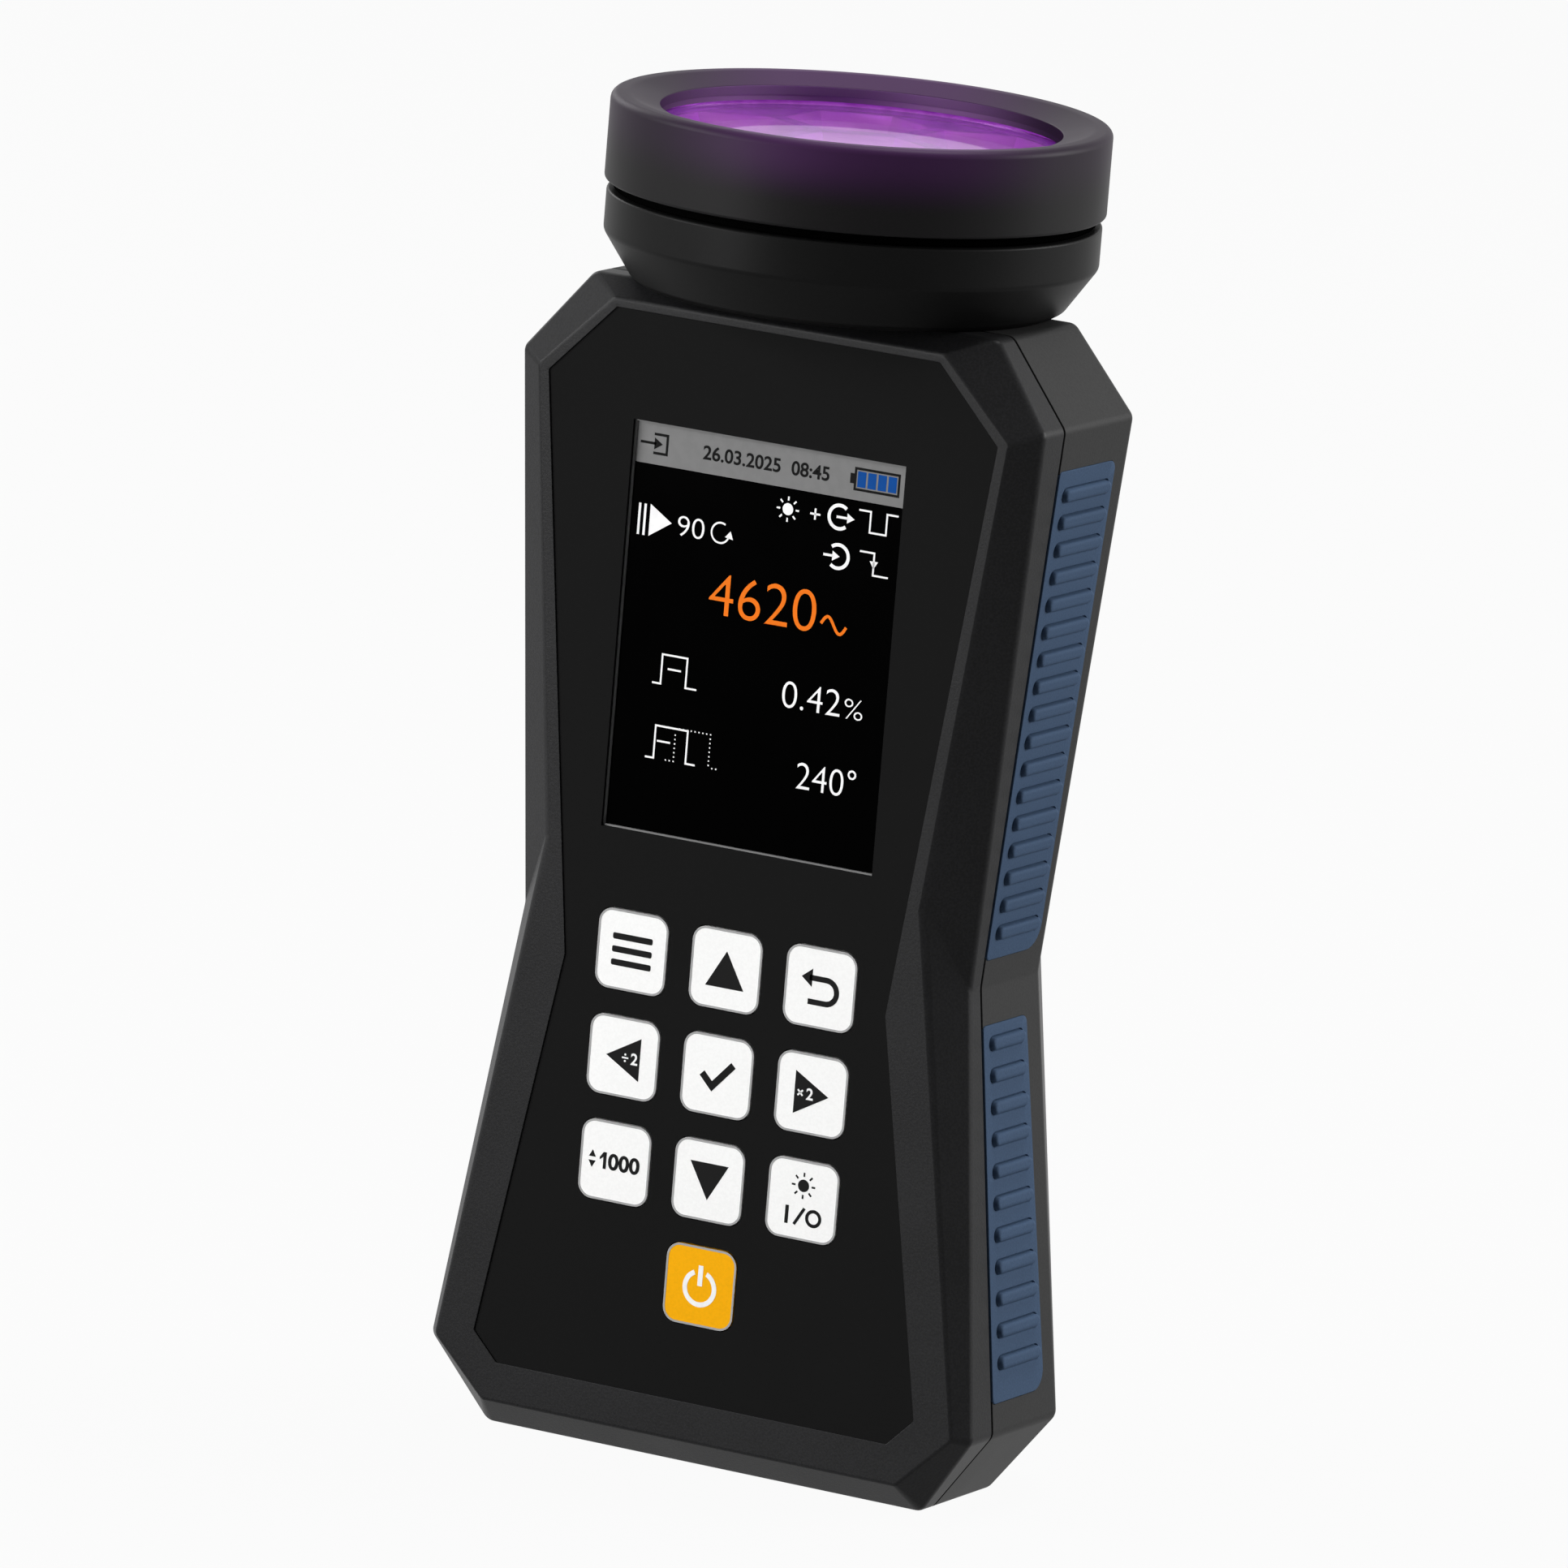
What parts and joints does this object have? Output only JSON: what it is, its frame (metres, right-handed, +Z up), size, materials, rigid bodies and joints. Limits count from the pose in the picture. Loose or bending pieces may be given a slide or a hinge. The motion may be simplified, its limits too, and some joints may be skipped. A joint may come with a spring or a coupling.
{
  "type": "led stroboscope",
  "caption": "Handheld LED stroboscope: hourglass body in two shells, colour display, keypad, ribbed side grips and a round lamp head with rubber bumper on top.",
  "frame": {"origin": "on the ground under the axis of the lamp head, in the middle of the box around the whole object", "axes": "+Z up along the body to the lamp, face with display and keys looks to -Y, +X to the right as seen from the front"},
  "size_m": [0.098, 0.0788, 0.2157],
  "materials": {
    "front_shell": "fine textured",
    "rear_shell": "fine textured",
    "panel": "matt film",
    "window": "polished",
    "display": "polished",
    "display_frame": "moulded",
    "key_white": "satin",
    "key_yellow": "satin",
    "mat": "moulded",
    "board": "solder mask",
    "cell": "sleeved",
    "cradle": "moulded",
    "jack": "moulded",
    "socket_metal": "plated",
    "insert": "turned",
    "grip": "matt",
    "lamp_shell": "soft matt",
    "bezel": "soft matt",
    "bumper": "matt",
    "seal": "matt",
    "lens": "polished",
    "reflector": "mirror",
    "led": "clear dome",
    "led_board": "white mask",
    "heat_sink": "bare",
    "screws": "plated"
  },
  "bodies": {
    "housing": {"front_housing": "front_shell", "rear_housing": "rear_shell", "front_panel": "panel", "display_window": "window", "lcd_module": "display", "display_frame": "display_frame", "keypad_mat": "mat", "main_board": "board", "battery_cells": "cell", "battery_cradle": "cradle", "driver_board": "board", "trigger_in_jack": "jack", "trigger_out_jack": "jack", "charging_socket": "socket_metal", "tripod_insert": "insert", "grip_upper_left": "grip", "grip_upper_right": "grip", "grip_lower_left": "grip", "grip_lower_right": "grip", "lamp_housing": "lamp_shell", "lamp_bezel": "bezel", "lamp_bumper": "bumper", "lamp_seal": "seal", "front_glass": "lens", "reflector_array": "reflector", "leds": "led", "led_board": "led_board", "heat_sink": "heat_sink", "housing_screws": "screws", "board_screws": "screws", "lamp_screws": "screws"},
    "key_menu": {"key_menu": "key_white"},
    "key_up": {"key_up": "key_white"},
    "key_back": {"key_back": "key_white"},
    "key_left": {"key_left": "key_white"},
    "key_ok": {"key_ok": "key_white"},
    "key_right": {"key_right": "key_white"},
    "key_thousand": {"key_thousand": "key_white"},
    "key_down": {"key_down": "key_white"},
    "key_light": {"key_light": "key_white"},
    "key_power": {"key_power": "key_yellow"}
  },
  "joints": [
    {"name": "key_menu_press", "type": "slide", "parent": "housing", "child": "key_menu", "axis": [0, 1, 0], "range_m": [0, 0.0006], "stiffness_N_per_m": 800},
    {"name": "key_up_press", "type": "slide", "parent": "housing", "child": "key_up", "axis": [0, 1, 0], "range_m": [0, 0.0006], "stiffness_N_per_m": 800},
    {"name": "key_back_press", "type": "slide", "parent": "housing", "child": "key_back", "axis": [0, 1, 0], "range_m": [0, 0.0006], "stiffness_N_per_m": 800},
    {"name": "key_left_press", "type": "slide", "parent": "housing", "child": "key_left", "axis": [0, 1, 0], "range_m": [0, 0.0006], "stiffness_N_per_m": 800},
    {"name": "key_ok_press", "type": "slide", "parent": "housing", "child": "key_ok", "axis": [0, 1, 0], "range_m": [0, 0.0006], "stiffness_N_per_m": 800},
    {"name": "key_right_press", "type": "slide", "parent": "housing", "child": "key_right", "axis": [0, 1, 0], "range_m": [0, 0.0006], "stiffness_N_per_m": 800},
    {"name": "key_thousand_press", "type": "slide", "parent": "housing", "child": "key_thousand", "axis": [0, 1, 0], "range_m": [0, 0.0006], "stiffness_N_per_m": 800},
    {"name": "key_down_press", "type": "slide", "parent": "housing", "child": "key_down", "axis": [0, 1, 0], "range_m": [0, 0.0006], "stiffness_N_per_m": 800},
    {"name": "key_light_press", "type": "slide", "parent": "housing", "child": "key_light", "axis": [0, 1, 0], "range_m": [0, 0.0006], "stiffness_N_per_m": 800},
    {"name": "key_power_press", "type": "slide", "parent": "housing", "child": "key_power", "axis": [0, 1, 0], "range_m": [0, 0.0006], "stiffness_N_per_m": 800}
  ]
}
